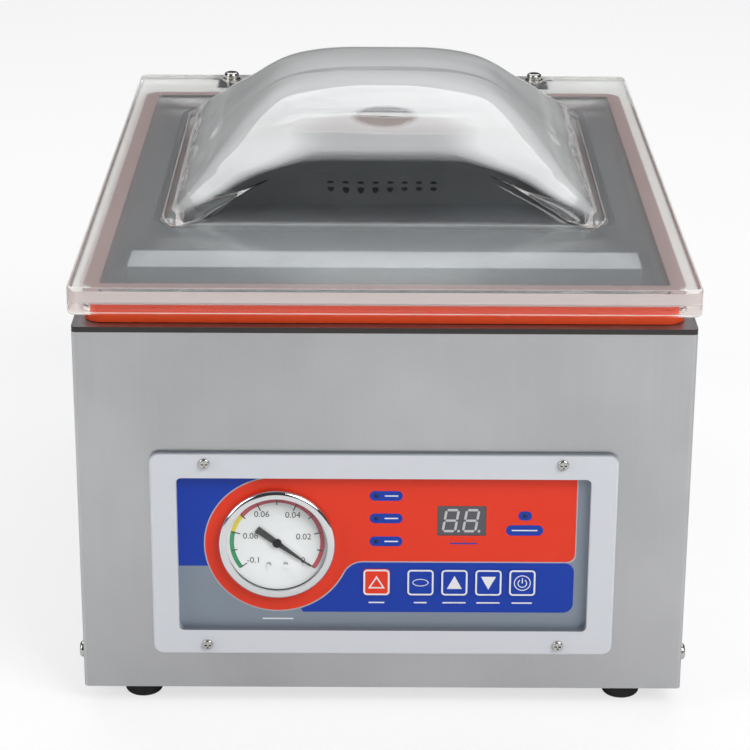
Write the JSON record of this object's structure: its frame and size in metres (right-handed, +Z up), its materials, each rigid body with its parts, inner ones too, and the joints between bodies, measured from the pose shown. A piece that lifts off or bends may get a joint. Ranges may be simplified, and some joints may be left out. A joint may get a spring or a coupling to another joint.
{
  "type": "vacuum packing machine",
  "caption": "Table-top chamber vacuum packer with a brushed steel casing, clear domed lid, round vacuum gauge and colour key panel.",
  "frame": {"origin": "bottom centre of the bounding box, on the surface the feet stand on", "axes": "+Z up, +X to the right seen from the front, -Y to the front where the gauge and keys are"},
  "size_m": [0.3368, 0.4778, 0.3071],
  "materials": {
    "brushed_sheet": "satin brushed",
    "zinc_sheet": "zinc plated",
    "grille_steel": "satin",
    "screw_steel": "polished",
    "foot_rubber": "matt",
    "clear_acrylic": "clear polished acrylic",
    "gasket_silicone": "silicone",
    "bar_aluminium": "satin",
    "strip_silicone": "silicone",
    "heater_metal": "nichrome",
    "tape_brown": "coated glass cloth",
    "post_steel": "ground",
    "dark_cylinder": "anodised",
    "bezel_paint": "satin light grey paint",
    "overlay_print": "printed polycarbonate",
    "warning_key_red": "printed",
    "key_face": "printed",
    "board_green": "solder mask",
    "spacer_nylon": "nylon",
    "switch_black": "moulded",
    "lamp_lens": "diffuse lens",
    "display_grey": "tinted window",
    "ring_chrome": "polished",
    "gauge_lens": "clear",
    "dial_white": "printed",
    "pointer_black": "satin",
    "movement_brass": "machined",
    "motor_paint": "painted aluminium",
    "pump_iron": "cast",
    "shaft_steel": "ground",
    "fan_plastic": "moulded",
    "filter_can": "painted",
    "transformer_iron": "varnished laminations",
    "manifold_aluminium": "machined",
    "coil_black": "moulded",
    "hose_rubber": "rubber",
    "plunger_nylon": "nylon"
  },
  "bodies": {
    "casing": {"outer_casing": "brushed_sheet", "rear_panel": "brushed_sheet", "chamber_deck": "brushed_sheet", "chamber_tub": "brushed_sheet", "base_pan": "zinc_sheet", "hinge_brackets": "zinc_sheet", "gauge_case": "zinc_sheet", "suction_grille": "grille_steel", "foot_bolts": "screw_steel", "side_screws": "screw_steel", "bezel_screws": "screw_steel", "hinge_pins": "screw_steel", "rubber_feet": "foot_rubber", "lift_cylinders": "dark_cylinder", "panel_bezel": "bezel_paint", "control_overlay": "overlay_print", "control_board": "board_green", "board_spacers": "spacer_nylon", "key_switches": "switch_black", "switch_housing": "switch_black", "power_inlet": "switch_black", "lid_switch": "switch_black", "indicator_lamps": "lamp_lens", "display_module": "display_grey", "gauge_ring": "ring_chrome", "gauge_glass": "gauge_lens", "gauge_dial": "dial_white", "gauge_movement": "movement_brass", "pump_motor": "motor_paint", "vacuum_pump": "pump_iron", "exhaust_filter": "filter_can", "transformer": "transformer_iron", "valve_manifold": "manifold_aluminium", "solenoid_coils": "coil_black", "suction_hose": "hose_rubber"},
    "lid": {"lid": "clear_acrylic", "lid_gasket": "gasket_silicone", "hinge_leaves": "zinc_sheet", "lid_bolts": "screw_steel", "lid_washers": "screw_steel", "lid_nuts": "screw_steel", "upper_seal_bar": "bar_aluminium", "silicone_strip": "strip_silicone"},
    "seal_bar": {"seal_bar": "bar_aluminium", "heater_wire": "heater_metal", "ptfe_tape": "tape_brown", "lift_posts": "post_steel"},
    "gauge_pointer": {"gauge_pointer": "pointer_black"},
    "warning_key": {"warning_key": "warning_key_red"},
    "set_key": {"set_key": "key_face"},
    "up_key": {"up_key": "key_face"},
    "down_key": {"down_key": "key_face"},
    "power_key": {"power_key": "key_face"},
    "rocker_switch": {"rocker_switch": "switch_black"},
    "lid_switch_plunger": {"lid_switch_plunger": "plunger_nylon"},
    "pump_shaft": {"pump_rotor": "shaft_steel", "motor_fan": "fan_plastic"}
  },
  "joints": [
    {"name": "lid_hinge", "type": "hinge", "parent": "casing", "child": "lid", "pos_m": [0, 0.2329, 0.2257], "axis": [-1, 0, 0], "range_deg": [0, 60]},
    {"name": "seal_bar_lift", "type": "slide", "parent": "casing", "child": "seal_bar", "axis": [0, 0, 1], "range_m": [0, 0.0055]},
    {"name": "gauge_pointer_turn", "type": "hinge", "parent": "casing", "child": "gauge_pointer", "pos_m": [-0.0576, -0.2321, 0.098], "axis": [0, -1, 0], "range_deg": [0, 254]},
    {"name": "warning_key_press", "type": "slide", "parent": "casing", "child": "warning_key", "axis": [0, 1, 0], "range_m": [0, 0.0006], "stiffness_N_per_m": 400, "springref_m": -0.0005},
    {"name": "set_key_press", "type": "slide", "parent": "casing", "child": "set_key", "axis": [0, 1, 0], "range_m": [0, 0.0006], "stiffness_N_per_m": 400, "springref_m": -0.0005},
    {"name": "up_key_press", "type": "slide", "parent": "casing", "child": "up_key", "axis": [0, 1, 0], "range_m": [0, 0.0006], "stiffness_N_per_m": 400, "springref_m": -0.0005},
    {"name": "down_key_press", "type": "slide", "parent": "casing", "child": "down_key", "axis": [0, 1, 0], "range_m": [0, 0.0006], "stiffness_N_per_m": 400, "springref_m": -0.0005},
    {"name": "power_key_press", "type": "slide", "parent": "casing", "child": "power_key", "axis": [0, 1, 0], "range_m": [0, 0.0006], "stiffness_N_per_m": 400, "springref_m": -0.0005},
    {"name": "rocker_tilt", "type": "hinge", "parent": "casing", "child": "rocker_switch", "pos_m": [-0.112, 0.2209, 0.103], "axis": [-1, 0, 0], "range_deg": [0, 16]},
    {"name": "lid_switch_press", "type": "slide", "parent": "casing", "child": "lid_switch_plunger", "axis": [0, 0, -1], "range_m": [0, 0.003], "stiffness_N_per_m": 200, "springref_m": -0.003},
    {"name": "pump_shaft_spin", "type": "hinge", "parent": "casing", "child": "pump_shaft", "pos_m": [0, 0.0959, 0.077], "axis": [1, 0, 0], "continuous": true}
  ]
}
